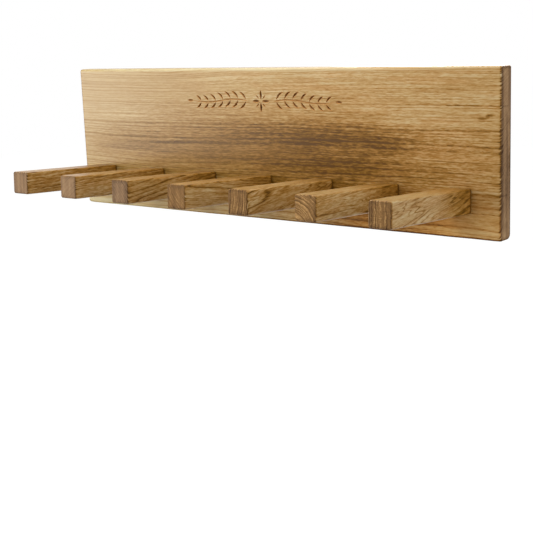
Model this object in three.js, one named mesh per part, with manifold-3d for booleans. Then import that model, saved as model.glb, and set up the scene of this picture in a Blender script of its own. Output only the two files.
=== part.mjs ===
// A rack that hangs on a wall: an oak board with a row of square oak pegs.
// Lengths are millimetres. X runs along the board, -Y points out of the wall and +Z is up.
// The origin is the centre of the board's back face, which lies flat on the wall.

import * as THREE from 'three';
import { RoundedBoxGeometry } from 'three/addons/geometries/RoundedBoxGeometry.js';
import { mergeVertices } from 'three/addons/utils/BufferGeometryUtils.js';
import Module from 'manifold-3d';

const wasm = await Module();
wasm.setup();

// The row of pegs sets the board's width.
const pegCount = 7;
const pegSpacing = 99;
const endMargin = 53;

// The board is one plank.
const boardHeight = 200;
const boardThickness = 24;
const boardArris = 3;

// The pegs are square and lean up a little, so that what rests on them slides towards the board.
const pegSide = 30;
const pegLength = 170;
const pegTiltDegrees = 3;
const pegRise = 45;
const pegArris = 2;

// Two countersunk wood screws hold each peg from behind. Heads, threads and cores are diameters.
const pegScrewLength = 50;
const pegScrewHead = 9.6;
const pegScrewThread = 5;
const pegScrewCore = 3.4;
const pegScrewPitch = 3;
const pegScrewPoint = 5;
const pegScrewSink = 0.5;
const pegScrewPlaceShare = 0.27;

// Two keyhole plates are let into the back, and hang the rack on two wall screws.
const plateLength = 62;
const plateWidth = 22;
const plateThickness = 2;
const plateSink = 0.25;
const plateInset = 100;
const plateDrop = 60;
const keyEntry = 11;
const keySlot = 5.5;
const keyRise = 14;
const keyDrop = 6;
const headRoomDepth = 5;
const headRoomMargin = 1;

// Two small countersunk screws hold each plate.
const plateScrewLength = 14;
const plateScrewHead = 6;
const plateScrewThread = 3;
const plateScrewCore = 2;
const plateScrewPitch = 1.5;
const plateScrewPoint = 3;
const plateScrewInset = 9;

// Clearances, and how far a cutting solid runs past what it cuts.
const fitGap = 0.3;
const overrun = 2;

// A screw head's straight edge and its cross recess, as shares of the head's diameter.
const headEdgeShare = 0.04;
const recessSpanShare = 0.5;
const recessWidthShare = 0.13;
const recessDepthShare = 0.2;

// A thread starts and ends at this share of its full height, and grows over one turn.
const threadStartShare = 0.25;

// Facets: per eased arris and side, round a screw or hole, and per arc of a plate.
const boardArrisSteps = 2;
const pegArrisSteps = 2;
const screwSides = 12;
const holeSides = 16;
const plateArcSteps = 8;

// Sizes worked out from the ones above.
const boardWidth = (pegCount - 1) * pegSpacing + 2 * endMargin;
const pegTilt = THREE.MathUtils.degToRad(pegTiltDegrees);
const pegHeight = pegRise - boardHeight / 2;
const pegScrewOffset = pegSide * pegScrewPlaceShare;
const plateSpan = boardWidth - 2 * plateInset;
const plateHeight = boardHeight / 2 - plateDrop;
const plateBed = plateSink + plateThickness;
const plateScrewOffset = plateLength / 2 - plateScrewInset;

const pegScrew = {
  head: pegScrewHead,
  thread: pegScrewThread,
  core: pegScrewCore,
  pitch: pegScrewPitch,
  point: pegScrewPoint,
  length: pegScrewLength,
  smooth: boardThickness - pegScrewSink,
  sink: pegScrewSink,
};

const plateScrew = {
  head: plateScrewHead,
  thread: plateScrewThread,
  core: plateScrewCore,
  pitch: plateScrewPitch,
  point: plateScrewPoint,
  length: plateScrewLength,
  smooth: plateThickness,
  sink: plateSink,
};

const boardOak = new THREE.MeshStandardMaterial({ color: 0xc09a6b, roughness: 0.6, metalness: 0 });
const pegOak = new THREE.MeshStandardMaterial({ color: 0xb98a56, roughness: 0.6, metalness: 0 });
const zincSteel = new THREE.MeshStandardMaterial({ color: 0xb9bbbd, roughness: 0.35, metalness: 1 });
const screwSteel = new THREE.MeshStandardMaterial({ color: 0xc2b280, roughness: 0.35, metalness: 1 });

// Turns a closed geometry into a solid that can be joined and cut.
function solid(geometry) {
  const bare = geometry.clone();
  bare.deleteAttribute('normal');
  bare.deleteAttribute('uv');
  const welded = mergeVertices(bare);
  const corners = welded.index.array;
  const kept = [];
  for (let i = 0; i < corners.length; i += 3) {
    const [a, b, c] = corners.slice(i, i + 3);
    if (a !== b && b !== c && c !== a) kept.push(a, b, c);
  }
  return new wasm.Manifold(new wasm.Mesh({
    numProp: 3,
    vertProperties: welded.attributes.position.array,
    triVerts: new Uint32Array(kept),
  }));
}

// Turns a solid back into a geometry.
function geometryOf(body) {
  const mesh = body.getMesh();
  const geometry = new THREE.BufferGeometry();
  geometry.setAttribute('position', new THREE.BufferAttribute(mesh.vertProperties, 3));
  geometry.setIndex(new THREE.BufferAttribute(mesh.triVerts, 1));
  geometry.computeVertexNormals();
  return geometry;
}

// Makes a flat piece from an outline in X and Z: it lies under y = 0 and is depth thick.
function slab(outline, depth) {
  const geometry = new THREE.ExtrudeGeometry(outline, {
    depth,
    bevelEnabled: false,
    curveSegments: plateArcSteps,
  });
  const right = new THREE.Vector3(1, 0, 0);
  const up = new THREE.Vector3(0, 0, 1);
  const out = new THREE.Vector3(0, -1, 0);
  return geometry.applyMatrix4(new THREE.Matrix4().makeBasis(right, up, out));
}

// An upright outline with round ends, between two end centres.
function roundEnded(low, high, radius) {
  const outline = new THREE.Shape();
  outline.absarc(0, high, radius, 0, Math.PI, false);
  outline.absarc(0, low, radius, Math.PI, 2 * Math.PI, false);
  outline.closePath();
  return outline;
}

// A keyhole: a round entry with a narrow slot above it.
function keyholeOutline() {
  const entryRadius = keyEntry / 2;
  const slotRadius = keySlot / 2;
  const shoulder = Math.acos(slotRadius / entryRadius);
  const outline = new THREE.Path();
  outline.absarc(0, keyRise - keyDrop, slotRadius, 0, Math.PI, false);
  outline.absarc(0, -keyDrop, entryRadius, Math.PI - shoulder, 2 * Math.PI + shoulder, false);
  outline.closePath();
  return outline;
}

// A countersunk wood screw along -Y, with its head's flat top at the origin. The root and the
// crest of its thread are two helices, each one list of points that winds round the core.
function screwGeometry({ head, thread, core, pitch, point, length, smooth }) {
  const headRadius = head / 2;
  const coreRadius = core / 2;
  const ridge = (thread - core) / 2;
  const edge = head * headEdgeShare;
  const threaded = length - smooth - point;
  const turns = Math.max(1, Math.round(threaded / pitch) - 1);
  const climb = threaded / (turns + 1);
  const steps = turns * screwSides;
  const points = [];
  const faces = [];

  const place = (radius, depth, step) => {
    const angle = (2 * Math.PI * step) / screwSides;
    points.push(radius * Math.cos(angle), -depth, radius * Math.sin(angle));
    return points.length / 3 - 1;
  };
  const ring = (radius, depth) => {
    const corners = [];
    for (let step = 0; step < screwSides; step += 1) corners.push(place(radius, depth, step));
    return [...corners, corners[0]];
  };
  const quad = (a, b, c, d) => faces.push(a, b, c, a, c, d);
  const band = (upper, lower) => {
    for (let step = 0; step < screwSides; step += 1) {
      quad(upper[step], upper[step + 1], lower[step + 1], lower[step]);
    }
  };

  const middle = place(0, 0, 0);
  const rim = ring(headRadius, 0);
  const rimEdge = ring(headRadius, edge);
  const neck = ring(coreRadius, edge + headRadius - coreRadius);
  const start = ring(coreRadius, smooth);
  const end = ring(coreRadius, length - point);
  const tip = place(0, length, 0);

  const root = [start[0]];
  for (let step = 1; step < steps + screwSides; step += 1) {
    root.push(place(coreRadius, smooth + (climb * step) / screwSides, step));
  }
  root.push(end[0]);

  const crest = [];
  for (let step = 0; step <= steps; step += 1) {
    const fromEnds = Math.min(step, steps - step) / screwSides;
    const height = ridge * Math.min(1, threadStartShare + fromEnds);
    crest.push(place(coreRadius + height, smooth + climb * (step / screwSides + 1 / 2), step));
  }

  for (let step = 0; step < screwSides; step += 1) {
    faces.push(middle, rim[step + 1], rim[step]);
    faces.push(end[step], end[step + 1], tip);
  }
  band(rim, rimEdge);
  band(rimEdge, neck);
  band(neck, start);
  faces.push(start[0], start[1], root[1]);
  for (let step = 1; step < screwSides; step += 1) {
    quad(start[step], start[step + 1], root[step + 1], root[step]);
  }
  faces.push(root[0], crest[0], root[screwSides]);
  for (let step = 0; step < steps; step += 1) {
    quad(root[step], root[step + 1], crest[step + 1], crest[step]);
    quad(crest[step], crest[step + 1], root[step + screwSides + 1], root[step + screwSides]);
  }
  faces.push(crest[steps], root[steps], root[steps + screwSides]);
  for (let step = 0; step < screwSides - 1; step += 1) {
    quad(root[steps + step], root[steps + step + 1], end[step + 1], end[step]);
  }
  faces.push(root[steps + screwSides - 1], end[0], end[screwSides - 1]);

  const geometry = new THREE.BufferGeometry();
  geometry.setAttribute('position', new THREE.Float32BufferAttribute(points, 3));
  geometry.setIndex(faces);

  const depth = head * recessDepthShare;
  const cross = new THREE.BoxGeometry(head * recessSpanShare, 2 * depth, head * recessWidthShare);
  const turned = cross.clone().rotateY(Math.PI / 2);
  return geometryOf(solid(geometry).subtract(solid(cross)).subtract(solid(turned)));
}

// The countersunk hole of a screw, cut from behind: it keeps the fit gap all round the screw.
function screwHole({ head, thread, length, sink }) {
  const flats = Math.cos(Math.PI / holeSides);
  const mouth = (head / 2 + fitGap * Math.SQRT2) / flats;
  const bore = (thread / 2 + fitGap) / flats;
  const edge = head * headEdgeShare;
  const depth = length + fitGap;
  return new THREE.LatheGeometry([
    new THREE.Vector2(0, -depth),
    new THREE.Vector2(bore, -depth),
    new THREE.Vector2(bore, -edge - (mouth - bore)),
    new THREE.Vector2(mouth, -edge),
    new THREE.Vector2(mouth, sink + overrun),
    new THREE.Vector2(0, sink + overrun),
  ], holeSides);
}

// Where things sit, in the rack's frame.
const pegPlaces = Array.from({ length: pegCount }, (_, i) => (i - (pegCount - 1) / 2) * pegSpacing);
const pegScrewPlaces = { upper: pegScrewOffset, lower: -pegScrewOffset };
const platePlaces = { left: -plateSpan / 2, right: plateSpan / 2 };
const plateScrewPlaces = { top: plateScrewOffset, bottom: -plateScrewOffset };

// The board, with the screws' holes and the plates' beds cut into its back.
function boardGeometry() {
  const plank = new RoundedBoxGeometry(
    boardWidth, boardThickness, boardHeight, boardArrisSteps, boardArris,
  );
  let board = solid(plank.translate(0, -boardThickness / 2, 0));

  const pegHole = solid(screwHole(pegScrew));
  for (const x of pegPlaces) {
    for (const offset of Object.values(pegScrewPlaces)) {
      board = board.subtract(pegHole.translate([x, -pegScrewSink, pegHeight + offset]));
    }
  }

  const bedRadius = plateWidth / 2 + fitGap;
  const bedEnd = (plateLength - plateWidth) / 2;
  const bed = solid(slab(roundEnded(-bedEnd, bedEnd, bedRadius), plateBed + overrun));
  const roomOutline = roundEnded(-keyDrop, keyRise - keyDrop, keyEntry / 2 + headRoomMargin);
  const room = solid(slab(roomOutline, plateBed + headRoomDepth + overrun));
  const plateHole = solid(screwHole(plateScrew));
  for (const x of Object.values(platePlaces)) {
    board = board.subtract(bed.translate([x, overrun, plateHeight]));
    board = board.subtract(room.translate([x, overrun, plateHeight]));
    for (const offset of Object.values(plateScrewPlaces)) {
      board = board.subtract(plateHole.translate([x, -plateSink, plateHeight + offset]));
    }
  }
  return geometryOf(board);
}

// A peg, with the middle of its root at the origin. Its root end is cut slanting, so that it lies
// flat on the board's face while the peg leans up.
function pegGeometry() {
  const stick = new RoundedBoxGeometry(pegSide, pegLength, pegSide, pegArrisSteps, pegArris);
  const corners = stick.attributes.position;
  for (let i = 0; i < corners.count; i += 1) {
    const slant = corners.getY(i) > 0 ? corners.getZ(i) * Math.tan(pegTilt) : 0;
    corners.setY(i, corners.getY(i) - slant);
  }
  let peg = solid(stick.translate(0, -pegLength / 2, 0).rotateX(-pegTilt));

  const hole = solid(screwHole(pegScrew));
  for (const offset of Object.values(pegScrewPlaces)) {
    peg = peg.subtract(hole.translate([0, boardThickness - pegScrewSink, offset]));
  }
  return geometryOf(peg);
}

// A keyhole plate, with the middle of its outer face at the origin.
function plateGeometry() {
  const end = (plateLength - plateWidth) / 2;
  const outline = roundEnded(-end, end, plateWidth / 2);
  outline.holes.push(keyholeOutline());
  let plate = solid(slab(outline, plateThickness));
  const hole = solid(screwHole(plateScrew));
  for (const offset of Object.values(plateScrewPlaces)) {
    plate = plate.subtract(hole.translate([0, 0, offset]));
  }
  return geometryOf(plate);
}

const rack = new THREE.Group();

function add(name, geometry, material, x, y, z) {
  const mesh = new THREE.Mesh(geometry, material);
  mesh.name = name;
  mesh.position.set(x, y, z);
  rack.add(mesh);
}

add('back_board', boardGeometry(), boardOak, 0, 0, 0);

const pegShape = pegGeometry();
const pegScrewShape = screwGeometry(pegScrew);
pegPlaces.forEach((x, i) => {
  add(`peg_${i + 1}`, pegShape, pegOak, x, -boardThickness, pegHeight);
  for (const [place, offset] of Object.entries(pegScrewPlaces)) {
    const name = `peg_screw_${place}_${i + 1}`;
    add(name, pegScrewShape, screwSteel, x, -pegScrewSink, pegHeight + offset);
  }
});

const plateShape = plateGeometry();
const plateScrewShape = screwGeometry(plateScrew);
for (const [side, x] of Object.entries(platePlaces)) {
  add(`keyhole_plate_${side}`, plateShape, zincSteel, x, -plateSink, plateHeight);
  for (const [place, offset] of Object.entries(plateScrewPlaces)) {
    const name = `plate_screw_${side}_${place}`;
    add(name, plateScrewShape, screwSteel, x, -plateSink, plateHeight + offset);
  }
}

export default rack;
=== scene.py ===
# %% [markdown]
# A boot rack of oak: one flat board with seven square pegs, screwed together from behind. Its exact
# construction comes in as a frame, and nothing here moves or resizes it. What is left to do is what the
# eye looks for: eased edges, a carved ornament, and grain that runs right through each piece.

# %% Load the rack's frame
from math import cos, pi, radians, sin, sqrt, tan
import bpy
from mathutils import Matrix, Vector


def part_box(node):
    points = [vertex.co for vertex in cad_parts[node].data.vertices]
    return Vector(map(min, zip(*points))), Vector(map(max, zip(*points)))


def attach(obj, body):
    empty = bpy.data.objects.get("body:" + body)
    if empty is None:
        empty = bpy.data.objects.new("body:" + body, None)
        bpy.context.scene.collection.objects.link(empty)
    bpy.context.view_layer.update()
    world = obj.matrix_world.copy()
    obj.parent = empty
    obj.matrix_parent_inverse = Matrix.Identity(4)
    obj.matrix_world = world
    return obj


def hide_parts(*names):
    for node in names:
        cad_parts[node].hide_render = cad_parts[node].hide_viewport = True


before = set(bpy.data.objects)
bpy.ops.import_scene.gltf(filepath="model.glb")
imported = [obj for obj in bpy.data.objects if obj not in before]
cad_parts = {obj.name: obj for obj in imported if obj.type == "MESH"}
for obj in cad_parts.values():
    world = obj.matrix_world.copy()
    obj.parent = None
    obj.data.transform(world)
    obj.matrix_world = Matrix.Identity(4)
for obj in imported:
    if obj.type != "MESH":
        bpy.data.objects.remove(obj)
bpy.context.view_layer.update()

from types import SimpleNamespace

import bmesh
import bpy
from mathutils import Matrix, Vector, noise

MM = 0.001

# %% [markdown]
# Sizes typed in again would drift away from the plain pieces, so they are read from the frame. The
# board's front is its lowest Y, because -Y points out of the wall. The pegs lean up by three degrees.

# %% Read the sizes
PEG_COUNT = 7
PEG_TILT = radians(3)

board_low, board_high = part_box("back_board")
board_middle = (board_low + board_high) / 2
board_half = (board_high - board_low) / 2
BOARD_THICKNESS = board_high.y - board_low.y
FACE_Y = board_low.y

peg_boxes = [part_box(f"peg_{i + 1}") for i in range(PEG_COUNT)]
first_low, first_high = peg_boxes[0]
PEG_PLACES = [(low.x + high.x) / 2 for low, high in peg_boxes]
PEG_SIDE = first_high.x - first_low.x
PEG_LENGTH = (FACE_Y - first_low.y - PEG_SIDE / 2 * sin(PEG_TILT)) / cos(PEG_TILT)
PEG_ROOT_Z = (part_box("peg_screw_upper_1")[0].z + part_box("peg_screw_lower_1")[1].z) / 2
print("half a board:", tuple(board_half), "peg:", PEG_SIDE, PEG_LENGTH, "at height", PEG_ROOT_Z)

# %% [markdown]
# The camera stands in front of the right-hand end and looks down and to the left, with a long lens that
# keeps the board's edges nearly parallel. It leans by two degrees, as one held in the hand does. Aimed
# at a target it couldn't lean, so its turns are multiplied out one by one.

# %% Set up the camera
CAMERA_PLACE = Vector((0.9555, -1.1779, 0.1541))
CAMERA_YAW = radians(39.668)
CAMERA_PITCH = radians(-12.029)
CAMERA_LEAN = radians(-2.246)
CAMERA_LENS = 76.40

scene = bpy.context.scene
camera_data = bpy.data.cameras.new("camera")
camera_data.lens = CAMERA_LENS
camera = bpy.data.objects.new("camera", camera_data)
scene.collection.objects.link(camera)
camera.matrix_world = (
    Matrix.Translation(CAMERA_PLACE)
    @ Matrix.Rotation(CAMERA_YAW, 4, "Z")
    @ Matrix.Rotation(pi / 2 + CAMERA_PITCH, 4, "X")
    @ Matrix.Rotation(CAMERA_LEAN, 4, "Z")
)
scene.camera = camera
scene.view_settings.view_transform = "Standard"
print("lens:", camera_data.lens, "sensor:", camera_data.sensor_width)

# %% [markdown]
# Materials are graphs of small nodes. A finish with a hundred nodes could be wired by hand, but as code
# it is easier to read and change. One helper adds a node, and each of the others stands for one step.

# %% Helpers for material graphs
def add_node(tree, kind, inputs=(), **settings):
    made = tree.nodes.new("ShaderNode" + kind)
    for name, value in settings.items():
        setattr(made, name, value)
    for key, value in dict(inputs).items():
        if isinstance(value, bpy.types.NodeSocket):
            tree.links.new(value, made.inputs[key])
        else:
            made.inputs[key].default_value = value
    return made


def calc(tree, step, *values):
    return add_node(tree, "Math", enumerate(values), operation=step).outputs[0]


def times(tree, first, second, plus=0.0):
    return calc(tree, "MULTIPLY_ADD", first, second, plus)


def shift(tree, step, *vectors):
    made = add_node(tree, "VectorMath", enumerate(vectors), operation=step)
    return made.outputs[1 if step in {"DOT_PRODUCT", "LENGTH"} else 0]


def axis_of(tree, vector, axis):
    return add_node(tree, "SeparateXYZ", {0: vector}).outputs[axis]


def soft_step(tree, value, start, end, low=0.0, high=1.0):
    """low up to start, high from end on, and a smooth slope between them."""
    inputs = {"Value": value, "From Min": start, "From Max": end, "To Min": low, "To Max": high}
    made = add_node(tree, "MapRange", inputs, interpolation_type="SMOOTHSTEP")
    return made.outputs["Result"]


def fade(tree, value, start, end):
    return soft_step(tree, value, start, end, 1.0, 0.0)


def mix_colours(tree, share, first, second, way="MIX"):
    inputs = {0: share, 6: first, 7: second}
    return add_node(tree, "Mix", inputs, data_type="RGBA", blend_type=way).outputs[2]


print("steps:", [step.__name__ for step in (calc, times, shift, soft_step, fade, mix_colours)])

# %% [markdown]
# Wood is never even, so nearly every mark in it starts as noise. Stretched along the grain, its round
# spots become fibres or streaks, so each noise says how many spots it has to a metre each way. Colours
# are written as they look on screen and turned into linear light.

# %% Helpers for noise and colour
def speckle(tree, place, a_metre, seed, detail):
    stretched = shift(tree, "MULTIPLY", place, a_metre)
    inputs = {"Vector": stretched, "W": seed, "Scale": 1.0, "Detail": detail}
    return add_node(tree, "TexNoise", inputs, noise_dimensions="4D").outputs[0]


def spots(tree, place, a_metre, seed, detail, start, end):
    """Noise with bare ground between its spots: 0 up to start, and 1 from end on."""
    return soft_step(tree, speckle(tree, place, a_metre, seed, detail), start, end)


def paint(red, green, blue):
    """A colour picked on screen, from 0 to 255, as the linear colour that a shader takes."""
    def linear(value):
        share = value / 255
        return share / 12.92 if share <= 0.04045 else ((share + 0.055) / 1.055) ** 2.4

    return (linear(red), linear(green), linear(blue), 1.0)


print("half as bright on screen is this much light:", round(paint(128, 128, 128)[0], 3))

# %% [markdown]
# Oak is ring porous: each year starts with a band of open pores, seen as a dark line of dashes. Lines
# drawn on each face wouldn't meet at the edges. So the figure is worked out in three dimensions, and
# each face shows what it cuts. It starts with the distance to the log's heart, which wobbles, since no
# log is round.

# %% How far a point is from the log's heart
RING_WOBBLES = {"Wander": (2.4, 9, 9), "Sway": (15, 60, 60), "Ripple": (13, 190, 190)}


def ring_reach(tree, given):
    """The way from the heart to a point, and its length with the wobbles of the rings."""
    across = shift(tree, "SUBTRACT", given["Place"], given["Heart"])
    across = shift(tree, "MULTIPLY", across, (0, 1, 1))
    reach = shift(tree, "LENGTH", across)
    for size, a_metre in RING_WOBBLES.items():
        wobble = speckle(tree, given["Place"], a_metre, given["Seed"], 1.0)
        reach = times(tree, calc(tree, "SUBTRACT", wobble, 0.5), given[size], reach)
    return across, reach


print("a ring's wobbles:", list(RING_WOBBLES))

# %% [markdown]
# Divided by a ring's width, that distance counts the years. Its whole part names the year, and the rest
# says how far into it a point is: early on lies the dark line, and late a pale ridge. A plain repeat
# looks printed, so each year draws its own strength and fades along its length. Three fainter lines a
# year show as thin flames where a face runs along them.

# %% The lines of the years
YEAR_DRIFT, DRIFT_SCALE = 2.2, 0.37
YEAR_FADES = (18, 60, 60)
YEARS_APART = 3.7
LINE_LEAD = 0.14
FLAMES_A_YEAR = 3.0


def count_years(tree, given, reach):
    years = calc(tree, "DIVIDE", reach, given["Ring"])
    inputs = {"W": calc(tree, "ADD", years, given["Seed"]), "Scale": DRIFT_SCALE, "Detail": 1.0}
    drift = add_node(tree, "TexNoise", inputs, noise_dimensions="1D").outputs[0]
    return times(tree, drift, YEAR_DRIFT, years)


def year_lines(tree, given, years):
    phase = calc(tree, "FRACT", years)
    early = fade(tree, phase, 0.03, 0.24)
    line = calc(tree, "MAXIMUM", early, soft_step(tree, phase, 0.88, 1.0))
    ridge = times(tree, soft_step(tree, phase, 0.36, 0.60), fade(tree, phase, 0.68, 0.88))

    year = calc(tree, "FLOOR", calc(tree, "ADD", years, LINE_LEAD))
    inputs = {"W": calc(tree, "ADD", year, given["Seed"])}
    draw = add_node(tree, "TexWhiteNoise", inputs, noise_dimensions="1D").outputs[0]
    apart = add_node(tree, "CombineXYZ", {1: times(tree, year, YEARS_APART)}).outputs[0]
    by_year = shift(tree, "ADD", shift(tree, "MULTIPLY", given["Place"], YEAR_FADES), apart)
    patchy = speckle(tree, by_year, (1, 1, 1), given["Seed"], 2.0)
    strength = times(tree, draw, 0.6, patchy)

    thirds = calc(tree, "FRACT", times(tree, years, FLAMES_A_YEAR, 0.5))
    flame = fade(tree, calc(tree, "ABSOLUTE", calc(tree, "SUBTRACT", thirds, 0.5)), 0.02, 0.22)
    return early, {
        "Lines": times(tree, line, soft_step(tree, strength, 0.42, 1.1)),
        "Flames": times(tree, flame, soft_step(tree, patchy, 0.3, 0.6)),
        "Pale": times(tree, ridge, soft_step(tree, patchy, 0.35, 0.65)),
    }


print("flames to a year:", FLAMES_A_YEAR, "fades to a metre:", YEAR_FADES[0])

# %% [markdown]
# Between the lines lies the finer texture: dashes of pores, fibre, streaks, slow changes of tone and a
# rosy blush. Rays are thin sheets that run out from the heart. They are noise too, in a space bent
# round the heart, so they show on the end grain only.

# %% Pores, fibre and rays
RAY_TURN = 0.12
BLUSH_SEED = 5.0


def fine_marks(tree, given, early):
    place, seed = given["Place"], given["Seed"]
    dashes = spots(tree, place, (170, 1100, 1100), seed, 1.0, 0.55, 0.68)
    coarse = spots(tree, place, (13, 300, 300), seed, 2.0, 0.3, 0.7)
    fine = spots(tree, place, (120, 700, 700), seed, 2.0, 0.3, 0.7)
    blush_seed = calc(tree, "ADD", seed, BLUSH_SEED)
    return {
        "Pores": times(tree, dashes, times(tree, early, 0.75, 0.25)),
        "Fibre": times(tree, coarse, 0.38, times(tree, fine, 0.62)),
        "Streaks": spots(tree, place, (3.2, 40, 40), seed, 3.0, 0.50, 0.72),
        "Tone": spots(tree, place, (2.2, 10, 10), seed, 2.0, 0.3, 0.7),
        "Blush": spots(tree, place, (14, 110, 110), blush_seed, 2.0, 0.42, 0.7),
    }


def ray_flecks(tree, given, across, reach):
    turn = calc(tree, "ARCTAN2", axis_of(tree, across, "Z"), axis_of(tree, across, "Y"))
    bent = {0: axis_of(tree, given["Place"], "X"), 1: reach, 2: times(tree, turn, RAY_TURN)}
    fan = add_node(tree, "CombineXYZ", bent).outputs[0]
    return spots(tree, fan, (110, 55, 1500), given["Seed"], 1.0, 0.58, 0.70)


print("the fan of the rays is squeezed to", RAY_TURN)

# %% [markdown]
# All of this goes into one group of nodes that every piece shares. Copied into each material it would
# look the same, but every change would have to be made nine times over. It takes a place in the piece's
# own directions, with X along the grain.

# %% The oak's figure, as one shared group
FIGURE_OUTPUTS = ("Lines", "Flames", "Pale", "Pores", "Fibre", "Streaks", "Tone", "Blush", "Rays")
FIGURE_SOCKETS = (
    ("INPUT", "NodeSocketVector", ("Place", "Heart")),
    ("INPUT", "NodeSocketFloat", ("Ring", "Wander", "Sway", "Ripple", "Seed")),
    ("OUTPUT", "NodeSocketFloat", FIGURE_OUTPUTS),
)


def make_oak_figure():
    tree = bpy.data.node_groups.new("oak_figure", "ShaderNodeTree")
    for side, kind, names in FIGURE_SOCKETS:
        for name in names:
            tree.interface.new_socket(name, in_out=side, socket_type=kind)
    given = tree.nodes.new("NodeGroupInput").outputs
    across, reach = ring_reach(tree, given)
    early, marks = year_lines(tree, given, count_years(tree, given, reach))
    marks.update(fine_marks(tree, given, early))
    marks["Rays"] = ray_flecks(tree, given, across, reach)
    result = tree.nodes.new("NodeGroupOutput")
    for name in FIGURE_OUTPUTS:
        tree.links.new(marks[name], result.inputs[name])
    return tree


oak_figure = make_oak_figure()
print("oak figure:", len(oak_figure.nodes), "nodes")

# %% [markdown]
# Colours mixed for each mark alone soon look painted. So every mark adds to one number, how dark the
# wood is, and a ramp gives that number its colour. End grain drinks more oil and dries darker, so it
# has ramps of its own, a warm one, and a greyer one for ends in the shade.

# %% The colours of oiled oak
# Each stop is a darkness and its colour on screen.
OAK_FACE = (
    (0.00, 207, 188, 147), (0.30, 185, 151, 98), (0.55, 158, 115, 55), (0.80, 122, 83, 22),
    (1.00, 88, 57, 11),
)
OAK_END = ((0.00, 209, 164, 102), (0.30, 144, 106, 60), (0.60, 103, 72, 38), (1.00, 56, 37, 16))
OAK_GREY_END = ((0.00, 201, 169, 127), (0.30, 151, 119, 85), (0.60, 109, 82, 56), (1.00, 60, 39, 20))
# Tints that the face's colour is multiplied by.
BLUSH = (1.02, 0.90, 0.80, 1.0)
# Sapwood together with a painted sheen, at the board's left end.
SAPWOOD_AND_SHEEN = (0.945, 1.045, 1.06, 1.0)
# A painted warm light for the shade under the pegs at the board's lower right.
PAINTED_WARM_TINT = (1.16, 0.96, 0.66, 1.0)


def ramp(tree, value, stops):
    made = add_node(tree, "ValToRGB", {0: value})
    bands = made.color_ramp.elements
    while len(bands) < len(stops):
        bands.new(0.5)
    for band, (place, *shade) in zip(bands, stops):
        band.position = place
        band.color = paint(*shade)
    return made.outputs[0]


print("stops:", len(OAK_FACE), "on faces and", len(OAK_END), "on ends")

# %% [markdown]
# A finish also has to know how the surface lies. End grain looks along the grain, flames show only
# where a face runs along the rings, and a rounded edge, which cuts the fibres at a slant, soaks up the
# most oil. The turn of the surface tells all three, so nothing has to be marked on the mesh by hand.

# %% Read the figure on a piece
def frame_of(tree, vector, matrix):
    """The vector in the directions of matrix, measured from its origin."""
    inputs = {"Vector": vector, "Location": matrix.to_translation(), "Rotation": matrix.to_euler()}
    return add_node(tree, "Mapping", inputs, vector_type="TEXTURE").outputs[0]


def looking_along(tree, wood, way):
    return calc(tree, "ABSOLUTE", shift(tree, "DOT_PRODUCT", wood.normal, tuple(way)))


def read_wood(tree, body, log):
    """body has the piece's own frame with X along it, the middle and half sizes of its box there,
    and the slope from its length to its grain. log has the figure's inputs."""
    coordinates = tree.nodes.new("ShaderNodeTexCoord").outputs
    wood = SimpleNamespace(place=coordinates["Object"], normal=coordinates["Normal"])
    wood.in_piece = frame_of(tree, wood.place, body["own"])
    wood.along = axis_of(tree, wood.in_piece, "X")
    inputs = {"Place": frame_of(tree, wood.in_piece, body["slope"]), **log}
    figure = add_node(tree, "Group", inputs, node_tree=oak_figure)
    for name in FIGURE_OUTPUTS:
        setattr(wood, name.lower(), figure.outputs[name])
    wood.figured = wood.fibre

    turn = (body["own"] @ body["slope"]).to_3x3()
    facing = looking_along(tree, wood, turn @ Vector((1, 0, 0)))
    wood.open_end = soft_step(tree, facing, 0.45, 0.95)
    cut = soft_step(tree, facing, 0.10, 0.4)
    wood.slanted = times(tree, cut, fade(tree, facing, 0.90, 0.995))
    on_rings = looking_along(tree, wood, (turn @ Vector(log["Heart"])).normalized())
    wood.flames = times(tree, wood.flames, soft_step(tree, on_rings, 0.5, 0.9))

    from_middle = shift(tree, "ABSOLUTE", shift(tree, "SUBTRACT", wood.in_piece, body["middle"]))
    room = shift(tree, "SUBTRACT", body["half"], from_middle)
    to_side = calc(tree, "MINIMUM", axis_of(tree, room, "Y"), axis_of(tree, room, "Z"))
    wood.to_end = fade(tree, axis_of(tree, room, "X"), 0.5 * MM, 5 * MM)
    wood.to_edge = fade(tree, to_side, 1.5 * MM, 6 * MM)
    return wood


print("figure values for each piece:", len(FIGURE_OUTPUTS))

# %% [markdown]
# Towards its left end the board was cut nearer to the bark, where wood is paler, cooler and calmer, and
# there its paler, cooler tint and calmer figure also stand for a painted sheen, the gleam that glances
# off that end. A second material would leave a seam, so the one finish lets its figure die down along
# the board. Shades that follow no formula are listed as soft ovals.

# %% Sapwood with painted sheen, and the wood's own shades
SAPWOOD_AND_SHEEN_FIGURE = 0.2


def calm_sapwood_and_sheen(tree, wood, start, end):
    """Up to start the wood is all sapwood with painted sheen, and from end on there is none of either.
    """
    wood.sapwood = fade(tree, wood.along, start, end)
    steady = soft_step(tree, wood.along, start, end, SAPWOOD_AND_SHEEN_FIGURE, 1.0)
    wood.figured = times(tree, calc(tree, "SUBTRACT", wood.fibre, 0.5), steady, 0.5)
    wood.pores = times(tree, wood.pores, steady)
    wood.lines = times(tree, wood.lines, times(tree, steady, 0.4, 0.6))
    wood.blush = times(tree, wood.blush, calc(tree, "SUBTRACT", 1.0, wood.sapwood))


def in_oval(tree, wood, middle, half):
    """0 at the middle of an oval, and 1 at its rim."""
    away = shift(tree, "SUBTRACT", wood.in_piece, middle)
    return shift(tree, "LENGTH", shift(tree, "DIVIDE", away, half))


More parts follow.
